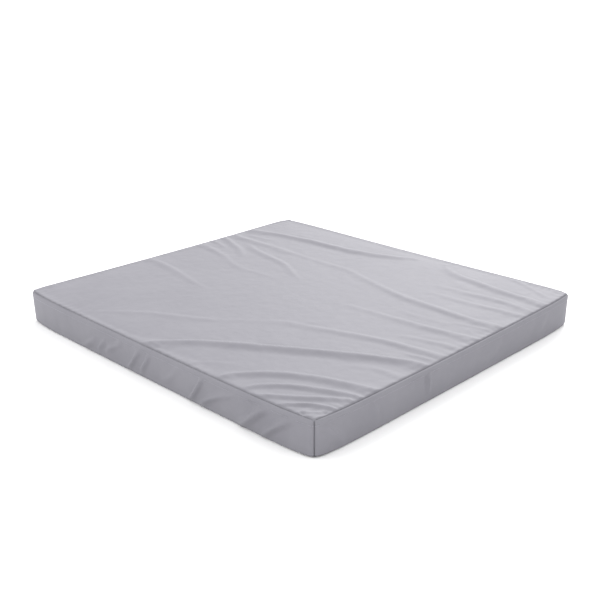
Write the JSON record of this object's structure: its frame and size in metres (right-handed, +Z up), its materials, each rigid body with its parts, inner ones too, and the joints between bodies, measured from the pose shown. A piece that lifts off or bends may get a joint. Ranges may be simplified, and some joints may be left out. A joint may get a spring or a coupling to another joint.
{
  "type": "pressure relief mattress",
  "caption": "Nearly square foam pressure relief mattress section in a wipe-clean boxed fabric cover, with a flap-covered coil zip along one side.",
  "frame": {"origin": "middle of the underside, on the surface that the mattress lies on", "axes": "+Z up; X across the 0.9 m width; Y along the 0.98 m length; the zip and its flap are on the +Y side"},
  "size_m": [0.9, 0.98, 0.078],
  "materials": {
    "cover_fabric": "satin",
    "base_fabric": "satin",
    "binding_tape": "matte",
    "zip_tape": "matte",
    "zip_coil": "satin",
    "slider_metal": "satin",
    "firm_foam": "matte",
    "soft_foam": "matte"
  },
  "bodies": {
    "mattress": {"base_seam_binding": "binding_tape", "corner_seam_binding_back_left": "binding_tape", "corner_seam_binding_back_right": "binding_tape", "corner_seam_binding_front_left": "binding_tape", "corner_seam_binding_front_right": "binding_tape", "cover_base_panel": "base_fabric", "cover_side_back_lower": "cover_fabric", "cover_side_back_upper": "cover_fabric", "cover_side_front": "cover_fabric", "cover_side_left": "cover_fabric", "cover_side_right": "cover_fabric", "cover_top_panel": "cover_fabric", "foam_base": "firm_foam", "foam_castellated_insert": "soft_foam", "foam_side_wall_back": "firm_foam", "foam_side_wall_front": "firm_foam", "foam_side_wall_left": "firm_foam", "foam_side_wall_right": "firm_foam", "top_seam_binding": "binding_tape", "zip_bottom_stop": "zip_coil", "zip_coil_lower": "zip_coil", "zip_coil_upper": "zip_coil", "zip_end_tab_left": "cover_fabric", "zip_end_tab_right": "cover_fabric", "zip_flap_seam_strip": "cover_fabric", "zip_tape_lower": "zip_tape", "zip_tape_upper": "zip_tape", "zip_top_stops": "zip_coil"},
    "zip_slider": {"zip_slider": "slider_metal"},
    "zip_pull": {"zip_pull_tab": "slider_metal"},
    "zip_flap": {"zip_flap": "cover_fabric", "zip_flap_edge_binding": "binding_tape"}
  },
  "joints": [
    {"name": "zip_slider_slide", "type": "slide", "parent": "mattress", "child": "zip_slider", "axis": [1, 0, 0], "range_m": [0, 0.792]},
    {"name": "zip_pull_hinge", "type": "hinge", "parent": "zip_slider", "child": "zip_pull", "pos_m": [-0.396, 0.4863, 0.024], "axis": [0, 0, 1], "range_deg": [0, 180]},
    {"name": "zip_flap_hinge", "type": "hinge", "parent": "mattress", "child": "zip_flap", "pos_m": [0.035, 0.4894, 0.052], "axis": [1, 0, 0], "range_deg": [0, 120]}
  ]
}
